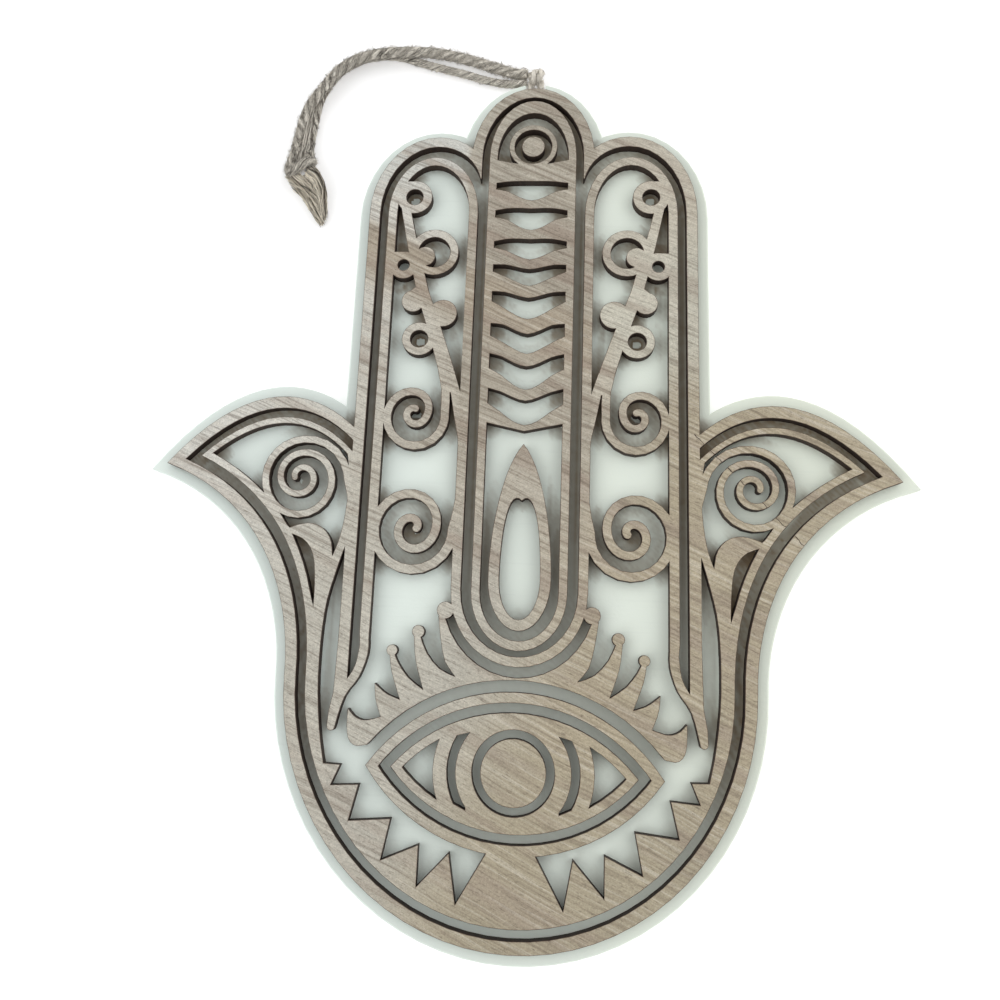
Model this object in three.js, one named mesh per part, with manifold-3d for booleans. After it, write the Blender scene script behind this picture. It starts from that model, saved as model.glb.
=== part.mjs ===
// Wall ornament in the shape of an open hand: painted board, glued wooden fretwork, twine loop.
// Millimetres. It lies on its back: +Z out of its face, +Y towards the fingertips.
import * as THREE from "three";
import { mergeVertices } from "three/addons/utils/BufferGeometryUtils.js";
import Module from "manifold-3d";

const BOARD_T = 3; // thickness of the painted board
const WOOD_T = 3; // thickness of the fretwork
const MARGIN = 3.4; // painted edge seen round the rim
const RIM = 3.2; // width of the rim
const RIM_SLOT = 2.6; // slot between the rim and the palm band
const THUMB_BAND = 2; // band round the thumb's opening
const STROKE = 2.7; // width of strips and scrolls
const TWINE_R = 1.25; // radius of the twine in its notch
const OUT_R = 1.5; // radius of the outer, looser strand
const IN_R = 1.1; // radius of the inner strand
const TAIL_R = 1; // radius of one tail of the twine
const CLEAR = 0.3; // round the twine, in its notch and at its knots
const CENTRE_Y = 0.49; // middle of the outline, in the drawing's own height

// Outline levels: inset from the board's edge.
const RIM_OUT = MARGIN;
const RIM_IN = RIM_OUT + RIM;
const BAND_OUT = RIM_IN + RIM_SLOT;
const THUMB_IN = BAND_OUT + THUMB_BAND;

// Middle finger and side finger: half-ellipse ends, at the board's edge.
const MID = { y: 98, a: 21.7, b: 26.7 };
const SIDE = { x: 28.5, outY: 80, outA: 23.1, outB: 28.2, inY: 88, inA: 20, inB: 20.2 };
const WEB_TOP = 91; // tip of the spike between two fingers
const FINGER_FOOT = -20;
const PALM = { y: -55, a: 65.6, b: 68.4 };
const EYE = { y: PALM.y - PALM.b + 46.3, rise: 26.8 }; // lens of two discs

// Frame in the side finger, and the panel in the middle finger.
const FRAME = { x: 29.15, y: 80, a: 13.4, b: 18.1 };
const PANEL = { a: 12.95, topY: MID.y, topB: MID.b - 7.7, lowY: EYE.y + 46.1, lowB: 15.4 };
const PANEL_STRIP = 2.4;
const U_SLOT = 2.75; // slot round the panel
const STRIP_B = { in: 45, out: 48.2, top: 18 }; // side of the finger, past the thumb
const FOOT_TOP = EYE.y + 33.1;

const EYE_OUT = 47;
const EYE_RING = 2.75;
const EYE_SLOT = 2.5;
const EYE_EDGE = 2.35;
const LASH_SLOT = 3;
const IRIS = { slot: 10.7, disc: 8.5 };
const CRESCENT = { out: 17.2, in: 15 };
const EYE_CORNER = 20.9;

const QUARTER = 9; // steps in a quarter turn of a large arc

const wasm = await Module();
wasm.setup();

const v = (x, y) => new THREE.Vector2(x, y);
const lerp = (p, q, t) => p.map((c, i) => c + (q[i] - c) * t);
const flip = (pts) => pts.map((p) => v(-p.x, p.y)).reverse();

function arc(cx, cy, a, b, from, to, steps = QUARTER) {
  return Array.from({ length: steps + 1 }, (_, i) => {
    const t = THREE.MathUtils.degToRad(from + ((to - from) * i) / steps);
    return v(cx + a * Math.cos(t), cy + b * Math.sin(t));
  });
}
const disc = (cx, cy, r, steps = 28) => arc(cx, cy, r, r, 0, 360, steps).slice(0, -1);
const bezier = (p, steps) =>
  new THREE.CubicBezierCurve(...p.map((c) => v(...c))).getPoints(steps);
const spline = (p, steps) => new THREE.SplineCurve(p.map((c) => v(...c))).getPoints(steps);
const poly = (...p) => p.map((c) => v(...c));

// A solid of one outline, from z to z + t.
function solid(pts, z, t) {
  const shape = THREE.ShapeUtils.area(pts) < 0 ? [...pts].reverse() : pts;
  const g = new THREE.ExtrudeGeometry(new THREE.Shape(shape), { depth: t, bevelEnabled: false });
  g.translate(0, -CENTRE_Y, z);
  return toManifold(g);
}
function toManifold(g) {
  g.deleteAttribute("normal");
  g.deleteAttribute("uv");
  const m = mergeVertices(g, 1e-4);
  return new wasm.Manifold(
    new wasm.Mesh({
      numProp: 3,
      vertProperties: m.attributes.position.array,
      triVerts: new Uint32Array(m.index.array),
    }),
  );
}
const wood = (pts) => solid(pts, BOARD_T, WOOD_T);
const cut = (pts) => solid(pts, BOARD_T - 1, WOOD_T + 2);
const join = (list) => list.reduce((a, b) => a.add(b));
const both = (make, outlines) => outlines.flatMap((p) => [make(p), make(flip(p))]);

// A strip of even or tapering width along a centreline, with a round end.
function strip(line, width, endWidth = width) {
  const left = [];
  const right = [];
  line.forEach((p, i) => {
    const a = line[Math.max(0, i - 1)];
    const b = line[Math.min(line.length - 1, i + 1)];
    const n = v(a.y - b.y, b.x - a.x).normalize();
    const half = (width + ((endWidth - width) * i) / (line.length - 1)) / 2;
    left.push(p.clone().addScaledVector(n, half));
    right.push(p.clone().addScaledVector(n, -half));
  });
  const [p, q] = [line.at(-2), line.at(-1)];
  const turn = THREE.MathUtils.radToDeg(Math.atan2(q.y - p.y, q.x - p.x));
  const cap = arc(q.x, q.y, endWidth / 2, endWidth / 2, turn - 90, turn + 90, 6).slice(1, -1);
  return [...right, ...cap, ...left.reverse()];
}

// Centreline of a scroll: outer radii at each quarter turn, from an angle, with a lead-in.
function scroll({ x, y, start, dir, radii, lead = [] }, width) {
  const along = new THREE.SplineCurve(radii.map((r, i) => v(i, r - width / 2)));
  const steps = (radii.length - 1) * 6;
  const turn = Array.from({ length: steps + 1 }, (_, i) => {
    const q = along.getPoint(i / steps);
    const t = THREE.MathUtils.degToRad(start + dir * 90 * q.x);
    return v(x + q.y * Math.cos(t), y + q.y * Math.sin(t));
  });
  return [...poly(...lead), ...turn];
}

// Hand outline, inset by d from the board's edge.
const midFinger = (d) => [
  v(-MID.a + d, FINGER_FOOT),
  v(MID.a - d, FINGER_FOOT),
  ...arc(0, MID.y, MID.a - d, MID.b - d, 0, 180, 2 * QUARTER),
];
const sideFinger = (d) => [
  v(SIDE.x - SIDE.inA + d, FINGER_FOOT),
  v(SIDE.x + SIDE.outA - d, FINGER_FOOT),
  ...arc(SIDE.x, SIDE.outY, SIDE.outA - d, SIDE.outB - d, 0, 90),
  ...arc(SIDE.x, SIDE.inY, SIDE.inA - d, SIDE.inB - d, 90, 180).slice(1),
];
// The thumb's edges at the board's edge and at its opening; levels between them are mixed.
const THUMB_TIP = [107.2, 0.6];
const HOLE_TIP = [88.3, 5.2];
const THUMB_TOP = [
  [[48, 18], [62, 29.5], [83, 33], THUMB_TIP],
  [[46, 2], [56, 14.5], [70, 20.8], HOLE_TIP],
];
const PALM_IN = PALM.a - THUMB_IN;
const THUMB_LOW = [
  [[PALM.a, PALM.y], [PALM.a, PALM.y + 21], [77, -8], THUMB_TIP],
  [[PALM_IN, PALM.y], [PALM_IN, PALM.y + 30], [66, -6], HOLE_TIP],
];
const edge = ([out, inn], d) => out.map((p, i) => lerp(p, inn[i], d / THUMB_IN));
const thumbTop = (d) => bezier(edge(THUMB_TOP, d), 18);
const thumbLow = (d) => bezier(edge(THUMB_LOW, d), 18);
const palm = (d) => {
  const half = [
    ...arc(0, PALM.y, PALM.a - d, PALM.b - d, -90, 0, 2 * QUARTER),
    ...thumbLow(d).slice(1, -1),
    ...thumbTop(d).reverse(),
  ];
  return [...half, ...flip(half).slice(0, -1)];
};
const web = () => poly([-17, FINGER_FOOT], [17, FINGER_FOOT], [17, WEB_TOP], [-17, WEB_TOP]);
const hand = (d, make) =>
  join([make(midFinger(d)), make(palm(d)), make(web()), ...both(make, [sideFinger(d)])]);

// Board, with a notch behind the rim for the bight of the twine.
const BIGHT = { leg: TWINE_R + 0.2, low: MID.y + MID.b - 4.55 };
const NOTCH = { half: BIGHT.leg + TWINE_R + CLEAR, y: BIGHT.low - TWINE_R - CLEAR };
const rect = (x0, y0, x1, y1) => poly([x0, y0], [x1, y0], [x1, y1], [x0, y1]);
const notch = rect(-NOTCH.half, NOTCH.y, NOTCH.half, MID.y + MID.b + 1);
const board = hand(0, (p) => solid(p, 0, BOARD_T)).subtract(solid(notch, -1, BOARD_T + 2));

// Frame of the side finger, outer U below the middle finger, and the foot of the frame.
const arch = (f, inset, foot) => [
  v(f.x - f.a + inset, foot),
  v(f.x + f.a - inset, foot),
  ...arc(f.x, f.y, f.a - inset, f.b - inset, 0, 180, 2 * QUARTER),
];
const lowU = (a, b, top) => [
  v(a, top),
  v(-a, top),
  ...arc(0, PANEL.lowY, a, b, 180, 360, 2 * QUARTER),
];
const U_IN = PANEL.a + U_SLOT;
const uOut = { a: U_IN + STROKE, b: PANEL.lowB + 4.2 };
const uIn = { a: U_IN, b: PANEL.lowB + 1.5 };
const belowFoot = (...pts) => pts.map(([x, y]) => [x, FOOT_TOP - y]);
const FRAME_SIDE = FRAME.x + FRAME.a - STROKE;
const foot = [
  ...spline(belowFoot([FRAME_SIDE, 0], [39.9, 5], [41.9, 11], [45.4, 16.2], [47.4, 23.6]), 12),
  ...arc(48.5, FOOT_TOP - 23.8, 1.1, 1.1, 180, 360, 6),
  ...poly(...belowFoot([49.4, 20], [48.5, 15], [STRIP_B.out, 0])),
];
const footSlot = [
  v(FRAME.x + FRAME.a, FOOT_TOP + 1),
  ...spline(belowFoot([42.25, 2], [43, 7.5], [45, 11.4]), 6),
  v(STRIP_B.in, FOOT_TOP + 1),
];
const frames = join([
  ...both(wood, [arch(FRAME, 0, FOOT_TOP)]),
  ...both(wood, [rect(STRIP_B.in, FOOT_TOP, STRIP_B.out, STRIP_B.top), foot]),
])
  .subtract(join(both(cut, [arch(FRAME, STROKE, FOOT_TOP - 1), footSlot])))
  .subtract(cut(rect(-U_IN - STROKE - 1, PANEL.lowY - 29, U_IN + STROKE + 1, PANEL.lowY)))
  .add(wood(lowU(uOut.a, uOut.b, PANEL.lowY)).subtract(cut(lowU(uIn.a, uIn.b, PANEL.lowY + 1))));

// Eye: a lens of two discs for each edge.
const lens = (r, make) => {
  const top = disc(0, EYE.y - EYE.rise, r, 72);
  const low = disc(0, EYE.y + EYE.rise, r, 72);
  return make(top).intersect(make(low));
};
const EYE_IN = EYE_OUT - EYE_RING;
const PLATE = EYE_IN - EYE_SLOT;
const eyeRing = lens(EYE_OUT, wood).subtract(lens(EYE_IN, cut));

// Lashes, from the eye's middle upwards: valley, rising edge, tip and falling edge of each thorn,
// then the end lobe.
const aboveEye = (pts) => pts.map(([x, y, ...r]) => [x, EYE.y + y, ...r]);
const lashLine = [
  ...spline(aboveEye([[21.4, 39.1], [20.5, 33.1], [19, 27.1], [16.1, 23.5]]), 6),
  ...spline(aboveEye([[16.4, 23.6], [20.5, 25.4], [24, 29.3], [25.9, 33.5]]), 6),
  ...spline(aboveEye([[27.7, 33.5], [26.9, 27.1], [24.5, 19.8]]), 6),
  ...spline(aboveEye([[24.8, 20], [28.6, 22.7], [31.5, 26.4], [32.8, 29.1]]), 6),
  ...spline(aboveEye([[34, 29.1], [33.2, 24.1], [30.6, 17]]), 6),
  ...spline(aboveEye([[30.9, 17.1], [34.3, 18.4], [37.5, 20.9]]), 5),
  ...spline(aboveEye([[37.5, 20.8], [37, 16.6], [35.4, 12.4]]), 5),
  ...spline(aboveEye([[35.6, 12.3], [39.4, 11.3], [42.2, 12.1], [44.2, 14.1]]), 7),
  ...spline(aboveEye([[44.3, 13.9], [44.2, 9.1], [43.4, 6.1], [41.5, 4.7], [38.6, 5.1]]), 9),
];
const lashes = [v(0, EYE.y + 11), v(0, EYE.y + 37), v(18.6, EYE.y + 38.5), ...lashLine];
const BALLS = aboveEye([[19.6, 40.7, 2.3], [26.6, 34.8, 1.7], [33.4, 29.6, 1.5]]);
const LASH_CUT = { a: uOut.a + 2.3, b: uOut.b + 2.7 };
const lashBand = join(both(wood, [lashes]))
  .subtract(cut(lowU(LASH_CUT.a, LASH_CUT.b, PANEL.lowY)))
  .subtract(lens(EYE_OUT + LASH_SLOT, cut))
  .add(join(both(wood, BALLS.map(([x, y, r]) => disc(x, y, r, 16)))));

// Palm band with teeth, and the thumbs. Teeth: angle round the palm and inset from its edge.
const TEETH = [
  [-82, 28], [-75.3, 12.3], [-68.4, 23], [-63.9, 11.9], [-58.4, 20.6], [-52.2, 11.6],
  [-46.5, 20.4], [-39, 11.4], [-32.4, 18.2], [-28.8, 11.5], [-25, 15.7],
];
const teeth = TEETH.map(([turn, d]) => arc(0, PALM.y, PALM.a - d, PALM.b - d, turn, turn, 1)[0]);
const LOW_TOOTH = v(0, PALM.y - PALM.b + 28.4);
const SLOT_TOP = STRIP_B.out - 0.3;
const SLOT_SIDE = [
  [PALM.a - 15.9, PALM.y - 22.1], [PALM.a - 14.2, PALM.y - 14], [PALM.a - 12.9, PALM.y - 3],
  [PALM.a - 12.7, PALM.y + 9], [52.2, -36], [50.3, -27.5], [SLOT_TOP, -19],
];
const opening = [LOW_TOOTH, ...teeth, ...spline(SLOT_SIDE, 16), v(SLOT_TOP, 40), v(0, 40)];
// Leaf at the thumb's root: its points are given from the middle of the thumb's inner edge.
const THUMB_EDGE = thumbLow(THUMB_IN);
const LEAF = THUMB_EDGE[9];
const near = (...pts) => pts.map(([x, y]) => [LEAF.x + x, LEAF.y + y]);
const leafTop = near(
  [1.2, 2.45], [-1.5, 3.45], [-5, 3.85], [-8.4, 2.45], [-10.7, -0.75], [-11.4, -4.95],
);
const thumbHole = [
  ...thumbTop(THUMB_IN).filter((p) => p.x > 48.3),
  ...THUMB_EDGE.filter((p) => p.y > LEAF.y + 2.85).reverse(),
  ...spline(leafTop, 12),
  ...spline([...near([-11.5, -4.75], [-13.1, 0.35]), [48.8, -10], [48.3, 0]], 8),
];
const horn = [
  ...spline(
    [
      ...near([0.3, 0.65], [-3.4, -1.05], [-6, -4.95]),
      [THUMB_EDGE[6].x - 2.2, THUMB_EDGE[6].y - 0.45],
      [THUMB_EDGE[4].x - 0.4, THUMB_EDGE[4].y - 0.4],
    ],
    10,
  ),
  ...THUMB_EDGE.filter((p) => p.y > LEAF.y - 17.15 && p.y < LEAF.y - 1.15),
];
const palmBand = wood(palm(BAND_OUT)).subtract(
  join(both(cut, [opening, thumbHole, horn])),
);

// Scrolls and ornaments of the right half.
const THUMB_SCROLL = {
  x: 62.2, y: -1.2, start: 180, dir: -1, lead: [[46.8, -10.5], [47.7, -5.5]],
  radii: [14.4, 12.2, 11.3, 11.6, 9.9, 8.3, 7, 5.7, 4.7, 4, 2.9],
};
const HIGH_SCROLL = {
  x: 30.9, y: 18.3, start: 180, dir: 1, lead: [[23.4, 30], [22.7, 26], [22.5, 22]],
  radii: [9.6, 10.8, 9.2, 7.4, 4.8, 4.5, 3.6, 2.5],
};
const LOW_SCROLL = {
  x: 29.8, y: -14.5, start: 180, dir: 1, lead: [[17, -5.5], [17.8, -10.5]],
  radii: [12.4, 12.7, 11.9, 10.9, 7.8, 7, 5.2, 4.1, 2.4],
};
const scrolls = [
  strip(scroll(THUMB_SCROLL, 2.2), 2.2, 1.8),
  strip(scroll(HIGH_SCROLL, 2.5), 2.5, 2.1),
  strip(scroll(LOW_SCROLL, STROKE), STROKE, 2.3),
];
// Stem with rings, crescent, half-moon and disc: centre, outer radius, hole radius.
const RINGS = [[34.9, 85, 5.3, 2.55], [37, 63.2, 4.3, 1.75], [31.1, 40.4, 5, 2.6]];
const C_RING = { x: 28.1, y: 67.3, r: 7.2, hole: 4.75 };
const C_BUMP = [30.8, 66, 3];
const DISC = [24.6, 48.3, 4.1];
const stem = strip(poly([38, 84.2], [34.8, 70], [30.9, 55], [25.6, 40], [22.75, 31]), 2.6, 4.5);
const stemFoot = poly(
  [25.1, 30.8], [20.4, 31.1], [18.4, 24.5], [17.4, 24.5], [17.4, 7],
  [18.3, 7], [18.6, 11.5], [19.9, 17.6], [21.2, 24.4], [23.8, 25],
);
const halfMoon = [v(30.2, 58.6), v(34.7, 55), ...arc(33.5, 52, 3.4, 3.4, 60, -180, 12)];
const ornaments = join(
  both(wood, [
    stem,
    stemFoot,
    halfMoon,
    disc(...DISC),
    rect(RINGS[0][0], 87.5, FRAME_SIDE - 0.35, 90.2),
    rect(RINGS[1][0] - 1, 62.2, FRAME_SIDE + 0.95, 67.4),
    ...RINGS.map(([x, y, r]) => disc(x, y, r)),
  ]),
).add(
  join(both(wood, [disc(C_RING.x, C_RING.y, C_RING.r)]))
    .subtract(join(both(cut, [disc(C_RING.x, C_RING.y, C_RING.hole)])))
    .add(join(both(wood, [disc(...C_BUMP)]))),
);
const ringHoles = join(both(cut, RINGS.map(([x, y, , r]) => disc(x, y, r, 20))));

const fretwork = join([
  hand(RIM_OUT, wood).subtract(hand(RIM_IN, cut)),
  frames,
  lashBand,
  eyeRing,
  palmBand,
  ornaments,
  join(both(wood, scrolls)),
]).subtract(ringHoles);

// Middle finger panel: slots bend and steepen downwards.
const panelOutline = (inset) => [
  ...arc(0, PANEL.topY, PANEL.a - inset, PANEL.topB - inset, 0, 180, 2 * QUARTER),
  ...arc(0, PANEL.lowY, PANEL.a - inset, PANEL.lowB - inset, 180, 360, 2 * QUARTER),
];
const SLOT_END = PANEL.a - PANEL_STRIP;
// Height of each slot's upper corners, its height at its ends, and how far its upper and lower
// edges drop a third, two thirds and all the way to the middle.
const SLOTS = [
  { y: 89.6, tall: 2, top: [-0.45, -0.6, -0.6], low: [0.7, 2.6, 3.6] },
  { y: 80.7, tall: 2.1, top: [-0.65, -0.75, -0.6], low: [0.8, 3, 4.1] },
  { y: 70.8, tall: 1.9, top: [-0.75, -0.9, -0.7], low: [0.9, 2.6, 3.7] },
  { y: 63.5, tall: 2.1, top: [0, 0.8, 1.4], low: [1.5, 3.2, 4.4] },
  { y: 55.2, tall: 3, top: [0.2, 1.2, 2], low: [2, 4.2, 5.4] },
  { y: 45.4, tall: 3.7, top: [0.4, 2.1, 3.2], low: [1.9, 4, 5.4] },
  { y: 36.3, tall: 4.4, top: [0.95, 2.8, 3.8], low: [2, 4.8, 6.2] },
  { y: 26, tall: 4.4, top: [1, 2.6, 3.6], low: [2.3, 5, 6.2] },
];
const bentSlot = ({ y, tall, top, low }) => {
  const edge = (from, [third, two, middle]) =>
    [0, third, two, middle, two, third, 0].map((d, i) => [(i / 3 - 1) * SLOT_END, from - d]);
  return [...spline(edge(y - tall, low), 12), ...spline(edge(y, top), 12).reverse()];
};
const TOP_RING = { y: PANEL.topY + 3.6, r: 7.2, hole: 5.6, disc: 3.4 };
const topHole = [
  ...arc(0, PANEL.topY, SLOT_END, PANEL.topB - 4.2, 0, 180, 2 * QUARTER),
  v(-SLOT_END, PANEL.topY - 0.8),
  v(0, PANEL.topY - 3),
  v(SLOT_END, PANEL.topY - 0.8),
];
const LOW_HOLE_Y = SLOTS.at(-1).y - 10.1;
const lowHole = [
  ...arc(0, PANEL.lowY, SLOT_END, PANEL.lowB - 2.6, 180, 360, 2 * QUARTER),
  v(SLOT_END, LOW_HOLE_Y),
  v(0, LOW_HOLE_Y - 2.3),
  v(-SLOT_END, LOW_HOLE_Y),
];
const panel = wood(panelOutline(0))
  .subtract(join([topHole, lowHole, ...SLOTS.map(bentSlot)].map(cut)))
  .add(
    wood(disc(0, TOP_RING.y, TOP_RING.r)).subtract(cut(disc(0, TOP_RING.y, TOP_RING.hole))),
  );

// Long drop: from its tip round the widest place to its foot.
const drop = (tip, wide, low) => {
  const turn = PANEL.lowY + 3.5;
  const half = [
    ...bezier([[0, tip], [wide * 0.62, tip * 0.4], [wide, -13], [wide, turn]], 12),
    ...arc(0, turn, wide, turn - low, 0, -90).slice(1),
  ];
  return [...half, ...flip(half).slice(1, -1)];
};
const DROP_LOW = PANEL.lowY - 10.2;
const dropRing = wood(drop(10, 8.5, DROP_LOW)).subtract(cut(drop(-6, 5.5, DROP_LOW + 3)));

// Eye plate: crescents and corners lie between circles about the iris, inside an even edge.
const inner = lens(PLATE - EYE_EDGE, cut);
const round = (r) => cut(disc(0, EYE.y, r, 48));
const side = poly([11, 9.7], [20, 7.1], [20, -6.1], [16, -7.8], [12, -9.6]);
const sides = join(both(cut, [side.map((p) => v(p.x, EYE.y + p.y))]));
const crescents = round(CRESCENT.out).subtract(round(CRESCENT.in));
const eyePlate = lens(PLATE, wood)
  .subtract(crescents.intersect(sides))
  .subtract(inner.subtract(round(EYE_CORNER)))
  .subtract(round(IRIS.slot));
const iris = wood(disc(0, EYE.y, IRIS.disc, 40));

// Twine: a bight in the notch is drawn into a small knot on the top edge, and two strands run
// from it to the end knot with its two tails. It all lies on the surface; the outer strand climbs
// over the inner one where they run together.
const HITCH = { x: 0, y: 127.3, a: 2.7, b: 2.7, c: 2.6 };
const KNOT = { x: -70.9, y: 97.6, a: 5.2, b: 4.6, c: 2.7 };
const strandOut = [
  [-2.9, 129], [-6.6, 129.4], [-12.7, 131.4], [-16.8, 132.9], [-20.8, 134.3], [-24.9, 135.5],
  [-29, 136.4, 0.1], [-33, 136.7, 0.6], [-36.9, 136.4, 1.5], [-40.8, 135.9, 2.2],
  [-44.9, 135.7, 2.4], [-49, 135.3, 2.4], [-53, 134.5, 2.4], [-57, 132.9, 2.4],
  [-60.9, 130.3, 2.4], [-64.2, 126.5, 2.4], [-66.9, 122.3, 2.4], [-69.2, 119, 2.2],
  [-71.4, 115.6, 0.9], [-72.6, 112.2, 0.1], [-73.2, 108.5], [-73.7, 105.2], [-73.9, 102.5],
];
const strandIn = [
  [-3.05, 126.2], [-6.5, 126.1], [-10.5, 126.3], [-16.6, 127.7], [-20.6, 129.1],
  [-24.7, 130.3], [-28.8, 131.5], [-32.9, 132.7], [-37, 134.1], [-41, 135.4], [-45.2, 136.3],
  [-49.4, 136.5], [-53.4, 135.8], [-57.3, 134.2], [-61.1, 131.7], [-64.4, 127.6],
  [-66.7, 123.4], [-68, 119.3], [-68.6, 115.4], [-69, 111.7], [-69.3, 108], [-69.6, 104.9],
  [-69.8, 102.6],
];
const bight = [
  [BIGHT.leg, HITCH.y - 0.7],
  ...[0, 45, 90, 135, 180].map((turn) => {
    const t = THREE.MathUtils.degToRad(-turn);
    return [BIGHT.leg * Math.cos(t), BIGHT.low + BIGHT.leg * (1 + Math.sin(t))];
  }),
  [-BIGHT.leg, HITCH.y - 0.7],
];
const tailOut = [[-73.4, 92.2], [-70.9, 88.2], [-68.4, 84], [-65.9, 79.4]];
const tailIn = [[-68.6, 92.3], [-67, 88.8], [-65.3, 84.6], [-63.3, 79.8]];

function cord(points, steps, r) {
  const low = r + 0.15;
  const path = new THREE.CatmullRomCurve3(
    points.map(([x, y, lift = 0]) => new THREE.Vector3(x, y - CENTRE_Y, low + lift)),
  );
  const section = new THREE.Shape(disc(0, 0, r, 8));
  return new THREE.ExtrudeGeometry(section, { steps, extrudePath: path, bevelEnabled: false });
}
const knot = ({ x, y, a, b, c }) =>
  toManifold(
    new THREE.SphereGeometry(1, 16, 10).scale(a, b, c).translate(x, y - CENTRE_Y, c),
  );

const MATERIALS = {
  paint: { color: 0xdfe4de, roughness: 0.75 },
  wood: { color: 0xb8aca0, roughness: 0.8 },
  twine: { color: 0x9d9287, roughness: 0.95 },
};
const root = new THREE.Group();
function add(name, geometry, kind) {
  const mesh = new THREE.Mesh(geometry, new THREE.MeshStandardMaterial(MATERIALS[kind]));
  mesh.name = name;
  root.add(mesh);
}
function fromManifold(m) {
  const { vertProperties, triVerts } = m.getMesh();
  const g = new THREE.BufferGeometry();
  g.setAttribute("position", new THREE.BufferAttribute(new Float32Array(vertProperties), 3));
  g.setIndex(new THREE.BufferAttribute(new Uint32Array(triVerts), 1));
  return g;
}

add("backing_board", fromManifold(board), "paint");
add("fretwork", fromManifold(fretwork), "wood");
add("middle_panel", fromManifold(panel), "wood");
add("top_disc", fromManifold(wood(disc(0, TOP_RING.y, TOP_RING.disc, 24))), "wood");
add("drop_ring", fromManifold(dropRing), "wood");
add("eye_plate", fromManifold(eyePlate), "wood");
add("iris_disc", fromManifold(iris), "wood");
add("twine_hitch", fromManifold(toManifold(cord(bight, 14, TWINE_R)).add(knot(HITCH))), "twine");
add("twine_strand_out", cord(strandOut, 36, OUT_R), "twine");
add("twine_strand_in", cord(strandIn, 36, IN_R), "twine");
add("twine_knot", fromManifold(knot(KNOT)), "twine");
add("twine_tail_out", cord(tailOut, 5, TAIL_R), "twine");
add("twine_tail_in", cord(tailIn, 5, TAIL_R), "twine");

export default root;
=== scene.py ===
from math import cos, pi, radians, sin

import bmesh
import bpy
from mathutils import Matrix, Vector
from mathutils.bvhtree import BVHTree
from mathutils.geometry import delaunay_2d_cdt


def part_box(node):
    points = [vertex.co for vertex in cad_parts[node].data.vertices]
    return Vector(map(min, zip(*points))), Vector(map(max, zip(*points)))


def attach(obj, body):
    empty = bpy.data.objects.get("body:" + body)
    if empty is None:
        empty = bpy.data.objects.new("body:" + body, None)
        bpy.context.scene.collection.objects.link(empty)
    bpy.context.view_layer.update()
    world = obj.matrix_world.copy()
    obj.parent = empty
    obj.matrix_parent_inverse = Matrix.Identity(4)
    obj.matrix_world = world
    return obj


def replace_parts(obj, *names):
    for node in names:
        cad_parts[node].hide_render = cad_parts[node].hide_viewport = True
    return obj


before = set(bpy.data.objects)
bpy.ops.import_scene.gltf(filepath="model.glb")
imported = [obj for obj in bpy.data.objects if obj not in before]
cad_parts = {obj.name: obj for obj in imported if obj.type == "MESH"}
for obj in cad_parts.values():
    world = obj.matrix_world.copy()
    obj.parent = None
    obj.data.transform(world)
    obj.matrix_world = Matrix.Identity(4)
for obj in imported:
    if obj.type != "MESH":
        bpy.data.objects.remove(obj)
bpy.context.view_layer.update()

MM = 0.001
scene = bpy.context.scene
scene.view_settings.view_transform = "Standard"


# Node trees.

class Sock:
    """A socket. Operators on it add Math nodes to its tree."""

    def __init__(self, net, socket):
        self.net = net
        self.socket = socket

    def math(self, operation, *values):
        return self.net.node("ShaderNodeMath", {"operation": operation}, dict(enumerate(values)))

    def __add__(self, other):
        return self.math("ADD", self, other)

    def __radd__(self, other):
        return self.math("ADD", other, self)

    def __sub__(self, other):
        return self.math("SUBTRACT", self, other)

    def __rsub__(self, other):
        return self.math("SUBTRACT", other, self)

    def __mul__(self, other):
        return self.math("MULTIPLY", self, other)

    def __rmul__(self, other):
        return self.math("MULTIPLY", other, self)

    def __truediv__(self, other):
        return self.math("DIVIDE", self, other)

    def __abs__(self):
        return self.math("ABSOLUTE", self)

    def beside(self, name):
        """Another output of the same node."""
        return Sock(self.net, self.socket.node.outputs[name])

    def step(self, low, high):
        """0 below low, 1 above high, smooth between; low may be the larger."""
        return self.net.node(
            "ShaderNodeMapRange",
            {"interpolation_type": "SMOOTHSTEP"},
            {"Value": self, "From Min": low, "From Max": high},
        )


class Net:
    """A node tree whose nodes all come from one method."""

    def __init__(self, tree):
        self.tree = tree

    def node(self, kind, settings=None, inputs=None, out=0):
        made = self.tree.nodes.new(kind)
        for key, value in (settings or {}).items():
            setattr(made, key, value)
        for key, value in (inputs or {}).items():
            live = [s for s in made.inputs if s.enabled]
            socket = live[key] if isinstance(key, int) else next(s for s in live if s.name == key)
            if isinstance(value, Sock):
                self.tree.links.new(value.socket, socket)
            else:
                socket.default_value = value
        if not made.outputs:
            return made
        live = [s for s in made.outputs if s.enabled]
        found = live[out] if isinstance(out, int) else next(s for s in live if s.name == out)
        return Sock(self, found)

    def vector(self, operation, *values):
        return self.node("ShaderNodeVectorMath", {"operation": operation}, dict(enumerate(values)))

    def noise(self, at, stretch, detail=2.0, roughness=0.5, distortion=0.0):
        return self.node(
            "ShaderNodeTexNoise",
            {},
            {
                "Vector": self.vector("MULTIPLY", at, stretch),
                "Scale": 1.0,
                "Detail": detail,
                "Roughness": roughness,
                "Distortion": distortion,
            },
        )

    def mix(self, factor, first, second, blend="MIX"):
        return self.node(
            "ShaderNodeMix",
            {"data_type": "RGBA", "blend_type": blend},
            {"Factor": factor, "A": first, "B": second},
        )

    def field(self, name):
        return self.node("ShaderNodeAttribute", {"attribute_name": name}, out="Fac")


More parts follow.
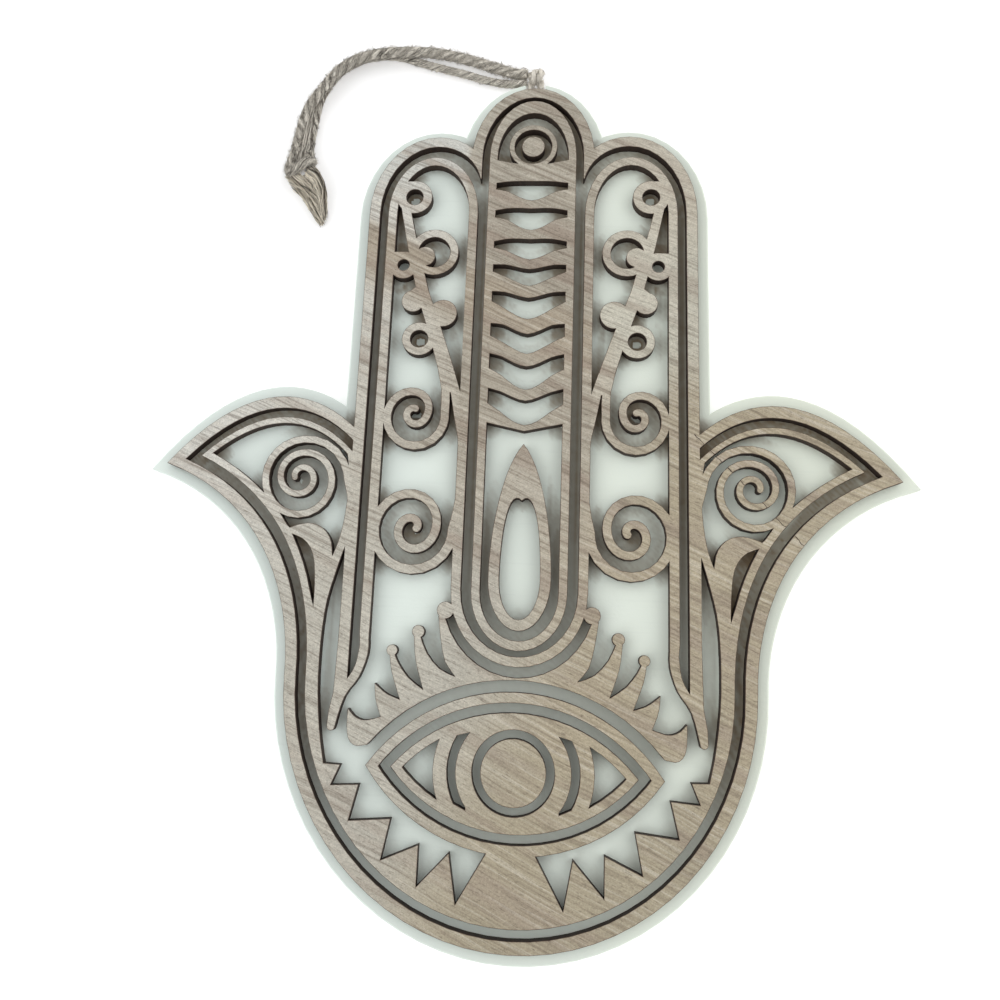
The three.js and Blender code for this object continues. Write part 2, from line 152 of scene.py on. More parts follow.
def srgb(red, green, blue):
    """A screen colour, 0 to 255, as a linear colour."""
    parts = [c / 255 for c in (red, green, blue)]
    return (*[c / 12.92 if c <= 0.04045 else ((c + 0.055) / 1.055) ** 2.4 for c in parts], 1.0)


def finish_net(name):
    """A new material and its empty tree."""
    material = bpy.data.materials.new(name)
    material.use_nodes = True
    material.node_tree.nodes.clear()
    return material, Net(material.node_tree)


def shade(net, colour, roughness, height, depth, **constants):
    """The shader: colour and roughness vary, height bumps by depth in metres."""
    bump = net.node("ShaderNodeBump", {}, {"Height": height, "Distance": depth, "Strength": 1.0})
    inputs = {"Base Color": colour, "Roughness": roughness, "Normal": bump}
    inputs.update({key.replace("_", " "): value for key, value in constants.items()})
    surface = net.node("ShaderNodeBsdfPrincipled", {}, inputs)
    net.node("ShaderNodeOutputMaterial", {}, {"Surface": surface})


def object_mm(net):
    place = net.node("ShaderNodeTexCoord", out="Object")
    return net.node("ShaderNodeVectorMath", {"operation": "SCALE"}, {0: place, "Scale": 1000.0})


def split(net, vector, axis):
    return net.node("ShaderNodeSeparateXYZ", {}, {0: vector}, out=axis)


# Finishes.

GRAIN = radians(24)  # the grain runs down to the right by this angle
# Hairline cracks in the wood: a point on the line, its turn in degrees and its ends, in mm.
CRACKS = [
    ((60.0, -0.6, 0.0), -46.5, -19.0, 21.5),
    ((-97.5, 21.6, 0.0), -12.0, -4.0, 3.0),
]


def bare_wood():
    material, net = finish_net("bare_wood")
    mm = object_mm(net)
    along = net.node("ShaderNodeMapping", {}, {"Vector": mm, "Rotation": (0, 0, GRAIN)})
    sway = net.noise(mm, (0.02, 0.02, 0.02)) * 5.0
    bent = net.vector("ADD", along, net.node("ShaderNodeCombineXYZ", {}, {"Y": sway}))

    fibre = net.noise(bent, (0.05, 2.6, 0.6), 3.0, 0.6)
    line = net.noise(bent, (0.026, 1.15, 0.3), 2.0, 0.6)
    band = net.noise(bent, (0.012, 0.16, 0.1), 2.0, 0.5)
    blotch = net.noise(mm, (0.035, 0.035, 0.1), 2.0, 0.5)
    speck = net.noise(mm, (2.6, 2.6, 2.6), 2.0, 0.7)
    pore = net.noise(bent, (0.45, 4.2, 1.0), 1.0, 0.5)

    x, y = split(net, mm, "X"), split(net, mm, "Y")
    u, v = split(net, bent, "X"), split(net, bent, "Y")
    dark = srgb(106, 93, 79)
    # The tone drifts from pale at the left to brown at the lower right, with a dark middle finger.
    # The warm drift is partly painted warm light and the dark middle finger partly painted shadow.
    heart = v.step(30.0, 42.0) * v.step(55.0, 50.0) * x.step(30.0, 15.0)
    base = net.mix(u.step(-95.0, -25.0), srgb(206, 204, 196), srgb(186, 182, 170))
    base = net.mix(u.step(-60.0, -20.0) * v.step(-35.0, -10.0) * 0.7, base, srgb(178, 169, 153))
    base = net.mix(u.step(0.0, 42.0), base, srgb(170, 159, 136))
    base = net.mix(u.step(10.0, 40.0) * v.step(-52.0, -68.0) * 0.6, base, srgb(158, 149, 128))
    middle = abs(x).step(20.0, 18.0) * y.step(-5.0, 20.0)
    left_tip = x.step(-18.0, -22.0) * y.step(82.0, 94.0)
    right_finger = x.step(18.0, 22.0) * y.step(20.0, 42.0) * (1.0 - 0.8 * y.step(60.0, 82.0))
    base = net.mix(middle * 0.75, base, srgb(160, 152, 137))
    base = net.mix(left_tip * 0.8, base, srgb(196, 197, 191))
    base = net.mix(right_finger * 0.9, base, srgb(196, 193, 178))
    base = net.mix(heart * 0.9, base, srgb(160, 148, 130))
    strength = 0.75 + 0.25 * y.step(-70.0, 15.0) - 0.4 * x.step(10.0, 45.0) * y.step(30.0, 70.0)
    base = net.mix(line.step(0.49, 0.3) * 0.4, base, srgb(208, 202, 188))
    base = net.mix(band.step(0.5, 0.72) * 0.65 * strength, base, srgb(152, 137, 123))
    base = net.mix(line.step(0.50, 0.68) * 0.5 * strength, base, dark)
    base = net.mix(fibre.step(0.52, 0.75) * 0.4, base, dark)
    base = net.mix(pore.step(0.62, 0.72) * 0.5, base, srgb(104, 88, 74))
    lift = 0.34 + 0.36 * blotch + speck
    base = net.node("ShaderNodeVectorMath", {"operation": "SCALE"}, {0: base, "Scale": lift})

    crack = None
    for place, turn, start, end in CRACKS:
        placed_on = net.node(
            "ShaderNodeMapping",
            {"vector_type": "TEXTURE"},
            {"Vector": mm, "Location": place, "Rotation": (0, 0, radians(turn))},
        )
        run = split(net, placed_on, "X")
        off = split(net, placed_on, "Y") + (net.noise(mm, (0.6, 0.6, 0.2)) - 0.5) * 1.2
        hit = abs(off).step(0.16, 0.05) * run.step(start - 0.5, start) * run.step(end + 0.5, end)
        crack = hit if crack is None else crack + hit
    base = net.mix(crack, base, srgb(70, 54, 44))

    burn = net.field("burn")
    singe = burn * (0.8 + 0.5 * net.noise(mm, (0.25, 0.25, 0.25)))
    base = net.mix(singe.step(0.05, 0.55) * 0.55, base, srgb(112, 84, 64))
    char = net.mix(net.noise(mm, (1.6, 1.6, 0.25)), srgb(24, 17, 13), srgb(62, 45, 34))
    base = net.mix(singe.step(0.5, 0.85), base, char)

    rough = 0.72 + 0.16 * fibre
    height = fibre * 0.5 + speck * 0.3 - pore.step(0.6, 0.74) * 0.6 - crack
    shade(net, base, rough, height, 0.00012)
    return material


def matt_paint():
    material, net = finish_net("matt_paint")
    mm = object_mm(net)
    cloud = net.noise(mm, (0.03, 0.03, 0.1), 3.0, 0.55)
    stipple = net.noise(mm, (1.8, 1.8, 1.8), 2.0, 0.6)
    brush = net.noise(mm, (0.06, 1.1, 0.5), 2.0, 0.5)
    x, y = split(net, mm, "X"), split(net, mm, "Y")
    # Painted warm light: the paint turns warmer towards the right.
    base = net.mix(x.step(-70.0, 95.0), srgb(229, 239, 233), srgb(231, 237, 222))
    base = net.mix(cloud.step(0.4, 0.75) * 0.3, base, srgb(216, 225, 219))
    base = net.mix(brush.step(0.55, 0.8) * 0.12, base, srgb(206, 214, 208))
    # Smoke of the cutting and painted shade darken narrow slots, least at the palm's end, in round
    # holes and round the thumbs' spirals, above all the right one.
    shelter = net.field("smoke")
    smoke = shelter * (0.92 + 0.16 * net.noise(mm, (0.3, 0.3, 0.3)))
    upper = y.step(-75.0, 0.0)
    sides = abs(x).step(46.0, 54.0) * y.step(-105.0, -60.0)
    amount = 0.12 + 0.16 * y.step(-112.0, -94.0) + 0.64 * upper.math("MAXIMUM", upper, sides)
    amount = amount + 0.08 * sides * x.step(0.0, 50.0)
    amount = amount * (1.0 - 0.85 * shelter.step(0.95, 0.995))
    for place, share in [((62.2, -1.2, 3.0), 0.95), ((-62.2, -1.2, 3.0), 0.35)]:
        amount = amount * (1.0 - share * net.vector("DISTANCE", mm, place).step(15.0, 12.0))
    base = net.mix(smoke.step(0.4, 0.95) * amount, base, srgb(119, 97, 66))
    shade(net, base, 0.55 + 0.15 * stipple, stipple * 0.6 + brush * 0.4, 0.00008)
    return material


def jute(name, dark, light, aged):
    material, net = finish_net(name)
    along = net.field("along") * 1000.0
    angle = net.field("around") * (2 * pi)
    tint = net.field("tint")
    at = net.node(
        "ShaderNodeCombineXYZ",
        {},
        {
            "X": along + tint * 40.0,
            "Y": net.node("ShaderNodeMath", {"operation": "COSINE"}, {0: angle}),
            "Z": net.node("ShaderNodeMath", {"operation": "SINE"}, {0: angle}),
        },
    )
    fibre = net.noise(at, (0.35, 1.7, 1.7), 4.0, 0.7)
    patch = net.noise(at, (0.22, 0.6, 0.6), 1.0, 0.5)
    base = net.mix(fibre.step(0.34, 0.64), dark, light)
    base = net.mix(patch.step(0.45, 0.7) * 0.4, base, aged)
    base = net.mix(tint.step(0.55, 0.85) * 0.9, base, light)
    base = net.mix(tint.step(0.42, 0.12) * 0.9, base, dark)
    # Painted light: the twine turns paler towards the right, fully so right of x = -25 mm.
    painted_light = split(net, object_mm(net), "X").step(-50.0, -25.0)
    base = net.mix(painted_light * 0.3, base, light)
    shade(net, base, 0.92 + 0.06 * fibre, fibre, 0.00025)
    return material


WOOD = bare_wood()
PAINT = matt_paint()
JUTE = jute("jute_twine", srgb(68, 60, 51), srgb(236, 230, 218), srgb(176, 165, 150))
FRAYED = jute("frayed_jute", srgb(52, 42, 32), srgb(252, 244, 226), srgb(204, 186, 160))


# Cut sheets.

def placed(name, mesh, body):
    made = bpy.data.objects.new(name, mesh)
    scene.collection.objects.link(made)
    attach(made, body)
    return made


def outlines(node):
    """The outlines of a CAD sheet's upper face, wood on their left, without needless corners."""
    bm = bmesh.new()
    bm.from_mesh(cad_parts[node].data)
    bmesh.ops.remove_doubles(bm, verts=bm.verts, dist=1e-6)
    follow = {}
    for face in bm.faces:
        if face.normal.z > 0.9:
            for loop in face.loops:
                if loop.link_loop_radial_next.face.normal.z < 0.9:
                    follow[loop.vert] = loop.link_loop_next.vert
    rings = []
    while follow:
        ring = [next(iter(follow))]
        while ring[-1] in follow:
            ring.append(follow.pop(ring[-1]))
        rings.append([v.co.xy for v in ring[1:]])
    bm.free()
    return [thinned(ring) for ring in rings]


def thinned(ring):
    """Leaves out corners that lie close to the last one and hardly turn the line."""
    kept = []
    for i, here in enumerate(ring):
        before = kept[-1] if kept else ring[i - 1]
        after = ring[(i + 1) % len(ring)]
        close = (here - before).length < 0.25 * MM
        if not (close and abs((here - before).angle_signed(after - here, 0.0)) < radians(25)):
            kept.append(here)
    return kept


def inset(ring, width):
    """A ring moved to its left, corners mitred up to a limit."""
    moved = []
    for i, here in enumerate(ring):
        before = (here - ring[i - 1]).normalized()
        after = (ring[(i + 1) % len(ring)] - here).normalized()
        left = Vector((-before.y - after.y, before.x + after.x))
        spread = max(1 + before.dot(after), 0.35)
        moved.append(here + left * (width / spread))
    return moved


def gridded(bm, rows, pitch):
    """Fills rows of corners with triangles on a grid, and gives the filled corners."""
    corners = [corner for row in rows for corner in row]
    order = {corner: i for i, corner in enumerate(corners)}
    edges = [(order[row[i - 1]], order[row[i]]) for row in rows for i in range(len(row))]
    flat = [corner.co.xy for corner in corners]
    z = corners[0].co.z
    (x0, x1), (y0, y1) = ((min(c), max(c)) for c in zip(*flat))
    across, up = round((x1 - x0) / pitch), round((y1 - y0) / pitch)
    flat += [
        Vector((x0 + (i + 0.5) * pitch, y0 + (j + 0.5) * pitch))
        for i in range(across)
        for j in range(up)
    ]
    places, _, faces, sources, _, _ = delaunay_2d_cdt(flat, edges, [], 1, 1e-7)
    used = {i for face in faces for i in face}
    made = {}
    for i in used:
        old = [k for k in sources[i] if k < len(corners)]
        made[i] = corners[old[0]] if old else bm.verts.new((*places[i], z))
    for face in faces:
        bm.faces.new([made[i] for i in face])
    return made.values()


def sheltered(bm, corners):
    """Stores "smoke": the share of directions all round in which wood stands near each corner, by
    which the paint lays cutting soot and painted shade.
    """
    smoke = bm.verts.layers.float["smoke"]
    places, faces = [], []
    for node in WOODEN:
        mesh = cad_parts[node].data
        faces += [[len(places) + i for i in face.vertices] for face in mesh.polygons]
        places += [corner.co for corner in mesh.vertices]
    wood = BVHTree.FromPolygons(places, faces)
    rays = [Vector((0.8 * cos(i * pi / 12), 0.8 * sin(i * pi / 12), 0.6)) for i in range(24)]
    known, covered = {}, []
    for corner in corners:
        start = corner.co + Vector((0, 0, 0.02 * MM))
        if wood.ray_cast(start, Vector((0, 0, 1)), 4 * MM)[0]:
            covered.append(corner)
        else:
            met = sum(wood.ray_cast(start, ray, 8 * MM)[0] is not None for ray in rays)
            known[corner] = met / len(rays)
    edge = {}
    for corner in covered:
        beside = [known[k] for k in (e.other_vert(corner) for e in corner.link_edges) if k in known]
        if beside:
            edge[corner] = sum(beside) / len(beside)
    for corner, share in (known | edge).items():
        corner[smoke] = share


def cut_sheet(node, name, material, ease, pitch=None):
    """A CAD sheet with its edges eased; "burn" is 1 on the cut walls and 0 on the faces."""
    low, high = (corner.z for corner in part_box(node))
    bm = bmesh.new()
    for layer in ("burn", "smoke"):
        bm.verts.layers.float.new(layer)
    burn = bm.verts.layers.float["burn"]
    lower, upper = [], []
    for ring in outlines(node):
        small = inset(ring, ease)
        rows = []
        for line, z, burnt in [
            (small, low, 0.0), (ring, low + ease * 0.6, 1.0),
            (ring, high - ease * 0.6, 1.0), (small, high, 0.0),
        ]:
            rows.append([bm.verts.new((p.x, p.y, z)) for p in line])
            for corner in rows[-1]:
                corner[burn] = burnt
        for under, over in zip(rows, rows[1:]):
            for i in range(len(ring)):
                bm.faces.new((under[i - 1], under[i], over[i], over[i - 1]))
        lower.append(rows[0])
        upper.append(rows[-1])
    for cap in (lower, upper):
        if pitch and cap is upper:
            sheltered(bm, list(gridded(bm, upper, pitch)))
        else:
            edges = [bm.edges.get((row[i - 1], row[i])) for row in cap for i in range(len(row))]
            bmesh.ops.triangle_fill(bm, use_beauty=True, edges=edges)
    bmesh.ops.recalc_face_normals(bm, faces=bm.faces)
    mesh = bpy.data.meshes.new(name)
    bm.to_mesh(mesh)
    bm.free()
    mesh.materials.append(material)
    mesh.shade_smooth()
    mesh.set_sharp_from_angle(angle=radians(28))
    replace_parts(placed(name, mesh, "hand"), node)


WOODEN = {
    "fretwork": "fretwork_sheet",
    "middle_panel": "finger_panel",
    "top_disc": "fingertip_disc",
    "drop_ring": "long_drop",
    "eye_plate": "eye_sheet",
    "iris_disc": "iris_sheet",
}
cut_sheet("backing_board", "painted_board", PAINT, 0.35 * MM, pitch=0.7 * MM)
for node, name in WOODEN.items():
    cut_sheet(node, name, WOOD, 0.2 * MM)


# Twine.

STRAND_OUT = [
    (-0.00290, 0.12851, 0.00165), (-0.00660, 0.12891, 0.00165), (-0.01270, 0.13091, 0.00165),
    (-0.01680, 0.13241, 0.00165), (-0.02080, 0.13381, 0.00165), (-0.02490, 0.13501, 0.00165),
    (-0.02900, 0.13591, 0.00175), (-0.03300, 0.13621, 0.00225), (-0.03690, 0.13591, 0.00315),
    (-0.04080, 0.13541, 0.00385), (-0.04490, 0.13521, 0.00405), (-0.04900, 0.13481, 0.00405),
    (-0.05300, 0.13401, 0.00405), (-0.05700, 0.13241, 0.00405), (-0.06090, 0.12981, 0.00405),
    (-0.06420, 0.12601, 0.00405), (-0.06690, 0.12181, 0.00405), (-0.06920, 0.11851, 0.00385),
    (-0.07140, 0.11511, 0.00255), (-0.07260, 0.11171, 0.00175), (-0.07320, 0.10801, 0.00165),
    (-0.07370, 0.10471, 0.00165), (-0.07390, 0.10201, 0.00165),
]
STRAND_IN = [
    (-0.00305, 0.12571, 0.00125), (-0.00650, 0.12561, 0.00125), (-0.01050, 0.12581, 0.00125),
    (-0.01660, 0.12721, 0.00125), (-0.02060, 0.12861, 0.00125), (-0.02470, 0.12981, 0.00125),
    (-0.02880, 0.13101, 0.00125), (-0.03290, 0.13221, 0.00125), (-0.03700, 0.13361, 0.00125),
    (-0.04100, 0.13491, 0.00125), (-0.04520, 0.13581, 0.00125), (-0.04940, 0.13601, 0.00125),
    (-0.05340, 0.13531, 0.00125), (-0.05730, 0.13371, 0.00125), (-0.06110, 0.13121, 0.00125),
    (-0.06440, 0.12711, 0.00125), (-0.06670, 0.12291, 0.00125), (-0.06800, 0.11881, 0.00125),
    (-0.06860, 0.11491, 0.00125), (-0.06900, 0.11121, 0.00125), (-0.06930, 0.10751, 0.00125),
    (-0.06960, 0.10441, 0.00125), (-0.06980, 0.10211, 0.00125),
]
BIGHT = [
    (0.00145, 0.12611, 0.0014), (0.00145, 0.12300, 0.0014), (0.00145, 0.12111, 0.0014),
    (0.00103, 0.12009, 0.0014), (0.0, 0.11966, 0.0014), (-0.00103, 0.12009, 0.0014),
    (-0.00145, 0.12111, 0.0014), (-0.00145, 0.12300, 0.0014), (-0.00145, 0.12611, 0.0014),
]
KNOT_OUT = [
    (-0.07390, 0.10200, 0.00165), (-0.07440, 0.10070, 0.00170), (-0.07500, 0.09840, 0.00190),
    (-0.07530, 0.09590, 0.00210), (-0.07480, 0.09410, 0.00270), (-0.07330, 0.09440, 0.00370),
    (-0.07160, 0.09570, 0.00420), (-0.07010, 0.09700, 0.00400), (-0.06870, 0.09800, 0.00300),
    (-0.06800, 0.09800, 0.00180),
]
KNOT_IN = [
    (-0.06980, 0.10210, 0.00125), (-0.06970, 0.10060, 0.00140), (-0.06940, 0.09860, 0.00160),
    (-0.06900, 0.09700, 0.00180), (-0.06820, 0.09540, 0.00200), (-0.06740, 0.09390, 0.00180),
]
# Loose fibres between the two strands above the knot.
FAN = [
    (-0.06960, 0.11700, 0.00180), (-0.07060, 0.11100, 0.00160), (-0.07130, 0.10500, 0.00160),
    (-0.07170, 0.10000, 0.00200), (-0.07150, 0.09650, 0.00240),
]
# The frayed ends below the knot: slanting locks of fibres that close to one tip.
LOCK_UPPER = [
    (-0.07420, 0.09340, 0.00240), (-0.07220, 0.09170, 0.00290), (-0.06920, 0.08940, 0.00280),
    (-0.06640, 0.08680, 0.00230), (-0.06420, 0.08400, 0.00160),
]
LOCK_LONG = [
    (-0.07260, 0.09220, 0.00180), (-0.07020, 0.08890, 0.00180), (-0.06780, 0.08540, 0.00170),
    (-0.06580, 0.08220, 0.00150), (-0.06400, 0.07920, 0.00110),
]
LOCK_SIDE = [
    (-0.06960, 0.09420, 0.00260), (-0.06720, 0.09240, 0.00280), (-0.06560, 0.08960, 0.00240),
    (-0.06460, 0.08540, 0.00190), (-0.06390, 0.08060, 0.00120),
]
LOCK_TIP = [
    (-0.06900, 0.08700, 0.00150), (-0.06730, 0.08390, 0.00150), (-0.06550, 0.08100, 0.00130),
    (-0.06400, 0.07840, 0.00100),
]


def route(points, gap=0.0004):
    """A smooth line through the points, with a corner about every gap metres."""
    knots = [Vector(p) for p in points]
    knots = [2 * knots[0] - knots[1], *knots, 2 * knots[-1] - knots[-2]]
    line = []
    for a, b, c, d in zip(knots, knots[1:], knots[2:], knots[3:]):
        count = max(1, round((c - b).length / gap))
        for i in range(count):
            t = i / count
            line.append(
                0.5 * (2 * b + (c - a) * t + (2 * a - 5 * b + 4 * c - d) * t * t
                       + (3 * b - a - 3 * c + d) * t ** 3)
            )
    return [*line, knots[-2]]


def geometry_net(name, inputs):
    """A geometry tree and its group's inputs by name."""
    tree = bpy.data.node_groups.new(name, "GeometryNodeTree")
    tree.interface.new_socket("Geometry", in_out="OUTPUT", socket_type="NodeSocketGeometry")
    for label, kind in inputs.items():
        tree.interface.new_socket(label, in_out="INPUT", socket_type="NodeSocket" + kind)
    net = Net(tree)
    group = net.node("NodeGroupInput")
    return net, {label: group.beside(label) for label in inputs}


def random_value(net, low, high, identity, seed):
    return net.node(
        "FunctionNodeRandomValue", {}, {"Min": low, "Max": high, "ID": identity, "Seed": seed}
    )


def keep(net, geometry, name, value):
    return net.node(
        "GeometryNodeStoreNamedAttribute", {}, {"Geometry": geometry, "Name": name, "Value": value}
    )


def close(net, geometry, material):
    """Ends a tree: real geometry, smooth, none of it below the surface it lies on."""
    smooth = net.node("GeometryNodeSetShadeSmooth", {}, {"Geometry": geometry})
    real = net.node("GeometryNodeRealizeInstances", {}, {"Geometry": smooth})
    place = net.node("GeometryNodeInputPosition")
    rested = net.node(
        "GeometryNodeSetPosition",
        {},
        {"Geometry": real, "Position": net.vector("MAXIMUM", place, (-1.0, -1.0, 0.00005))},
    )
    dressed = net.node("GeometryNodeSetMaterial", {}, {"Geometry": rested, "Material": material})
    net.node("NodeGroupOutput", {}, {0: dressed})
    return net.tree


def round_section(net, radius, sides):
    circle = net.node(
        "GeometryNodeCurvePrimitiveCircle", {}, {"Resolution": sides, "Radius": radius}
    )
    index = net.node("GeometryNodeInputIndex")
    return keep(net, circle, "around", index / sides)


def sideways(net, across, over):
    """An offset in the plane across a curve."""
    tangent = net.node("GeometryNodeInputTangent")
    normal = net.node("GeometryNodeInputNormal")
    other = net.vector("CROSS_PRODUCT", tangent, normal)
    return net.vector(
        "ADD",
        net.node("ShaderNodeVectorMath", {"operation": "SCALE"}, {0: normal, "Scale": across}),
        net.node("ShaderNodeVectorMath", {"operation": "SCALE"}, {0: other, "Scale": over}),
    )


def noise_along(net, place):
    return net.node("ShaderNodeTexNoise", {"noise_dimensions": "1D"}, {"W": place, "Scale": 1.0})


def copied(net, line, count):
    """Copies of a line, and the number of each copy."""
    made = net.node(
        "GeometryNodeDuplicateElements", {"domain": "SPLINE"}, {"Geometry": line, "Amount": count}
    )
    return made, made.beside("Duplicate Index")


def twisted_twine():
    """Plies or fibres laid round a line, each a tube, turning once in every lay."""
    net, size = geometry_net(
        "twisted_twine",
        {"Line": "Geometry", "Plies": "Int", "Ply radius": "Float", "Offset": "Float",
         "Lay": "Float", "Stray": "Float", "Sides": "Int", "Seed": "Int", "Material": "Material"},
    )
    curve = net.node("GeometryNodeMeshToCurve", {}, {"Mesh": size["Line"]})
    lines, ply = copied(net, curve, size["Plies"])
    length = net.node("GeometryNodeSplineParameter", {}, {}, out="Length")
    lines = keep(net, lines, "along", length)
    lines = keep(net, lines, "tint", random_value(net, 0.0, 1.0, ply, size["Seed"]))
    turned = noise_along(net, length * 230.0 + ply * 7.3 + size["Seed"]) - 0.5
    pushed = noise_along(net, length * 310.0 + ply * 4.9 + size["Seed"] + 50.0) - 0.5
    turn = length / size["Lay"] + ply / size["Plies"] + turned * size["Stray"]
    angle = turn * (2 * pi)
    reach = size["Offset"] * (1.0 + pushed * size["Stray"])
    move = sideways(
        net,
        reach * net.node("ShaderNodeMath", {"operation": "COSINE"}, {0: angle}),
        reach * net.node("ShaderNodeMath", {"operation": "SINE"}, {0: angle}),
    )
    laid = net.node("GeometryNodeSetPosition", {}, {"Geometry": lines, "Offset": move})
    tube = net.node(
        "GeometryNodeCurveToMesh",
        {},
        {
            "Curve": laid,
            "Profile Curve": round_section(net, size["Ply radius"], size["Sides"]),
            "Scale": 1.0 + 0.5 * pushed,
            "Fill Caps": True,
        },
    )
    return close(net, tube, size["Material"])


def loose_fibres():
    """Thin fibres strewn about a line, within a width and a height at each end."""
    net, size = geometry_net(
        "loose_fibres",
        {"Line": "Geometry", "Count": "Int", "Fibre radius": "Float", "Start width": "Float",
         "End width": "Float", "Start height": "Float", "End height": "Float", "Seed": "Int",
         "Material": "Material"},
    )
    curve = net.node("GeometryNodeMeshToCurve", {}, {"Mesh": size["Line"]})
    even = net.node("GeometryNodeResampleCurve", {}, {"Curve": curve, "Count": 18})
    lines, one = copied(net, even, size["Count"])
    length = net.node("GeometryNodeSplineParameter", {}, {}, out="Length")
    share = net.node("GeometryNodeSplineParameter", {}, {}, out="Factor")
    lines = keep(net, lines, "along", length)
    lines = keep(net, lines, "tint", random_value(net, 0.0, 1.0, one, size["Seed"] + 5))
    stray = noise_along(net, share * 2.2 + one * 9.7)
    rise = noise_along(net, share * 2.0 + one * 5.3 + 40.0)
    side = random_value(net, -0.5, 0.5, one, size["Seed"]) + (stray - 0.5) * 0.5
    high = random_value(net, -0.5, 0.5, one, size["Seed"] + 1) + (rise - 0.5) * 0.4
    width = size["Start width"] + (size["End width"] - size["Start width"]) * share
    height = size["Start height"] + (size["End height"] - size["Start height"]) * share
    draw = (share - 0.5) * random_value(net, -0.0016, 0.0016, one, size["Seed"] + 2)
    tangent = net.node("GeometryNodeInputTangent")
    move = net.vector(
        "ADD",
        sideways(net, side * width, high * height),
        net.node("ShaderNodeVectorMath", {"operation": "SCALE"}, {0: tangent, "Scale": draw}),
    )
    laid = net.node("GeometryNodeSetPosition", {}, {"Geometry": lines, "Offset": move})
    tube = net.node(
        "GeometryNodeCurveToMesh",
        {},
        {
            "Curve": laid,
            "Profile Curve": round_section(net, size["Fibre radius"], 5),
            "Scale": 1.1 - 0.6 * share * share,
            "Fill Caps": True,
        },
    )
    return close(net, tube, size["Material"])


def fuzz_hairs():
    """Fine hairs standing off a twine's surface."""
    net, size = geometry_net(
        "fuzz_hairs",
        {"Surface": "Geometry", "Per square metre": "Float", "Length": "Float",
         "Radius": "Float", "Seed": "Int", "Material": "Material"},
    )
    points = net.node(
        "GeometryNodeDistributePointsOnFaces",
        {},
        {"Mesh": size["Surface"], "Density": size["Per square metre"], "Seed": size["Seed"]},
    )
    upright = points.beside("Rotation")
    which = net.node("GeometryNodeInputIndex")
    bow = net.node(
        "GeometryNodeCurveQuadraticBezier",
        {},
        {"Resolution": 3, "Start": (0, 0, 0), "Middle": (0.5, 0.1, 0.5), "End": (1.0, -0.1, 0.35)},
    )
    length = net.node("GeometryNodeSplineParameter", {}, {}, out="Length")
    bow = keep(net, bow, "along", length * 0.002)
    hair = net.node(
        "GeometryNodeCurveToMesh",
        {},
        {"Curve": bow, "Profile Curve": round_section(net, size["Radius"] / size["Length"], 3)},
    )
    spin = net.node(
        "FunctionNodeAxisAngleToRotation",
        {},
        {"Axis": (0, 0, 1), "Angle": random_value(net, 0.0, 2 * pi, which, size["Seed"] + 1)},
    )
    turned = net.node(
        "FunctionNodeRotateRotation",
        {"rotation_space": "LOCAL"},
        {"Rotation": upright, "Rotate By": spin},
    )
    points = keep(net, points, "tint", random_value(net, 0.0, 1.0, which, size["Seed"] + 2))
    stood = net.node(
        "GeometryNodeInstanceOnPoints",
        {},
        {
            "Points": points,
            "Instance": hair,
            "Rotation": turned,
            "Scale": size["Length"] * random_value(net, 0.4, 1.3, which, size["Seed"] + 3),
        },
    )
    return close(net, stood, size["Material"])


def grown(name, lines, tree, body, **sizes):
    """A plain mesh made by a geometry tree from lines of points, or from another mesh."""
    if isinstance(lines, bpy.types.Mesh):
        mesh = lines.copy()
    else:
        mesh = bpy.data.meshes.new(name)
        corners, edges = [], []
        for line in lines:
            first = len(corners)
            edges += [(first + i, first + i + 1) for i in range(len(line) - 1)]
            corners += line
        mesh.from_pydata(corners, edges, [])
    maker = bpy.data.objects.new(name, mesh)
    scene.collection.objects.link(maker)
    grow = maker.modifiers.new("grow", "NODES")
    grow.node_group = tree
    for item in tree.interface.items_tree:
        key = item.name.lower().replace(" ", "_")
        if item.in_out == "INPUT" and key in sizes:
            grow[item.identifier] = sizes[key]
    graph = bpy.context.evaluated_depsgraph_get()
    made = bpy.data.meshes.new_from_object(
        maker.evaluated_get(graph), preserve_all_data_layers=True, depsgraph=graph
    )
    made.name = name
    bpy.data.objects.remove(maker)
    return placed(name, made, body)


TWIST = twisted_twine()
FRAY = loose_fibres()
FUZZ = fuzz_hairs()


def twine(name, lines, body, radius, lay):
    """Twine of three plies."""
    return grown(
        name, lines, TWIST, body, plies=3, ply_radius=radius * 0.56, offset=radius * 0.46, lay=lay,
        stray=0.2, sides=10, seed=3, material=JUTE,
    )


def fibres(name, lines, body, radius, lay, seed):
    """Fibres that lie loosely round the plies."""
    return grown(
        name, lines, TWIST, body, plies=44, ply_radius=0.1 * MM, offset=radius * 0.95, lay=lay,
        stray=0.35, sides=4, seed=seed, material=JUTE,
    )


def fuzz(name, source, body, length, seed):
    return grown(
        name, source.data, FUZZ, body, per_square_metre=4.5e6, length=length,
        radius=0.045 * MM, seed=seed, material=JUTE,
    )


def frayed(name, points, start, end, seed, material, count=90):
    """Loose fibres about a line, as wide as given at its start and its end."""
    return grown(
        name, [route(points)], FRAY, "twine_loop", count=count, fibre_radius=0.14 * MM,
        start_width=start, end_width=end, start_height=2.4 * MM, end_height=1.4 * MM,
        seed=seed, material=material,
    )


